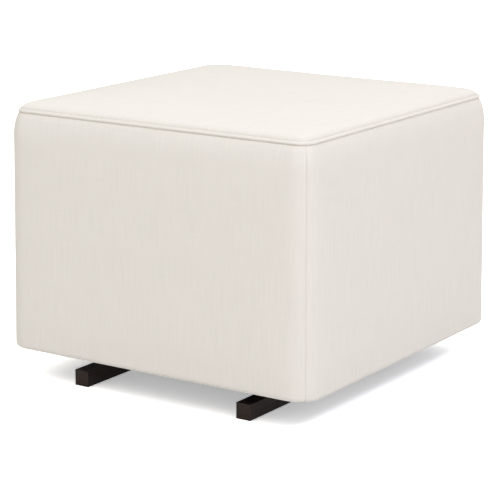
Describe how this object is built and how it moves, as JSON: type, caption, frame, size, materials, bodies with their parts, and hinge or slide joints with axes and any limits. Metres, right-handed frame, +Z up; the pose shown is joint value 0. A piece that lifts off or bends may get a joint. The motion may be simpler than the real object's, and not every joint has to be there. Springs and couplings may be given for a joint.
{
  "type": "glider ottoman",
  "caption": "Square upholstered footstool with a crowned, piped top whose seat box glides back and forth on parallel swing arms over a low base with two wooden runners.",
  "frame": {"origin": "on the floor, under the middle of the seat", "axes": "+Z up, -Y the front, where the runners' ends show, with the glide along Y; +X to the right seen from the front"},
  "size_m": [0.55, 0.555, 0.444],
  "materials": {
    "cover_fabric": "matte",
    "piping_fabric": "matte",
    "padding": "matte",
    "batting": "matte",
    "foam": "matte",
    "dust_fabric": "matte",
    "staple_wire": "satin",
    "plywood": "matte",
    "frame_wood": "matte",
    "runner_wood": "satin",
    "cross_rail_wood": "satin",
    "zinc_steel": "satin",
    "black_steel": "satin",
    "bearing_steel": "polished",
    "bumper_rubber": "matte"
  },
  "bodies": {
    "base": {"barrel_nuts": "zinc_steel", "base_plate_left": "black_steel", "base_plate_right": "black_steel", "base_plate_screws": "zinc_steel", "bumper_screws": "zinc_steel", "bumpers": "bumper_rubber", "connector_bolts": "zinc_steel", "cross_rail_front": "cross_rail_wood", "cross_rail_rear": "cross_rail_wood", "runner_left": "runner_wood", "runner_right": "runner_wood", "tie_bar_front": "black_steel", "tie_bar_rear": "black_steel", "tie_bar_screws": "zinc_steel", "upper_inner_rings": "bearing_steel", "upper_pivot_bolts": "zinc_steel", "upper_pivot_nuts": "zinc_steel", "upper_spacers": "zinc_steel", "upper_washers": "zinc_steel"},
    "arm_front_left": {"bearings_front_left": "bearing_steel", "swing_arm_front_left": "black_steel"},
    "arm_front_right": {"bearings_front_right": "bearing_steel", "swing_arm_front_right": "black_steel"},
    "arm_rear_left": {"bearings_rear_left": "bearing_steel", "swing_arm_rear_left": "black_steel"},
    "arm_rear_right": {"bearings_rear_right": "bearing_steel", "swing_arm_rear_right": "black_steel"},
    "carriage": {"carriage_bolts": "zinc_steel", "carriage_plate_left": "black_steel", "carriage_plate_right": "black_steel", "carriage_rail_left": "frame_wood", "carriage_rail_right": "frame_wood", "carriage_tee_nuts": "zinc_steel", "corner_posts": "frame_wood", "cover_panel_front": "cover_fabric", "cover_panel_left": "cover_fabric", "cover_panel_rear": "cover_fabric", "cover_panel_right": "cover_fabric", "cover_top": "cover_fabric", "dust_cover_centre": "dust_fabric", "dust_cover_left": "dust_fabric", "dust_cover_right": "dust_fabric", "frame_panel_front": "plywood", "frame_panel_left": "plywood", "frame_panel_rear": "plywood", "frame_panel_right": "plywood", "frame_screws": "zinc_steel", "lower_inner_rings": "bearing_steel", "lower_pivot_bolts": "zinc_steel", "lower_pivot_nuts": "zinc_steel", "lower_spacers": "zinc_steel", "lower_washers": "zinc_steel", "piping": "piping_fabric", "seat_batting": "batting", "seat_deck": "plywood", "seat_foam": "foam", "side_padding": "padding", "staples": "staple_wire"}
  },
  "joints": [
    {"name": "glide", "type": "hinge", "parent": "base", "child": "arm_front_left", "pos_m": [-0.15, -0.12, 0.275], "axis": [1, 0, 0], "range_deg": [-20, 20]},
    {"name": "carriage_level", "type": "hinge", "parent": "arm_front_left", "child": "carriage", "pos_m": [-0.15, -0.12, 0.105], "axis": [1, 0, 0], "range_deg": [-20, 20]},
    {"name": "arm_front_right_swing", "type": "hinge", "parent": "base", "child": "arm_front_right", "pos_m": [0.15, -0.12, 0.275], "axis": [1, 0, 0], "range_deg": [-20, 20]},
    {"name": "arm_rear_left_swing", "type": "hinge", "parent": "base", "child": "arm_rear_left", "pos_m": [-0.15, 0.12, 0.275], "axis": [1, 0, 0], "range_deg": [-20, 20]},
    {"name": "arm_rear_right_swing", "type": "hinge", "parent": "base", "child": "arm_rear_right", "pos_m": [0.15, 0.12, 0.275], "axis": [1, 0, 0], "range_deg": [-20, 20]}
  ],
  "couplings": [
    {"joint": "carriage_level", "follows": "glide", "ratio": -1},
    {"joint": "arm_front_right_swing", "follows": "glide", "ratio": 1},
    {"joint": "arm_rear_left_swing", "follows": "glide", "ratio": 1},
    {"joint": "arm_rear_right_swing", "follows": "glide", "ratio": 1}
  ]
}
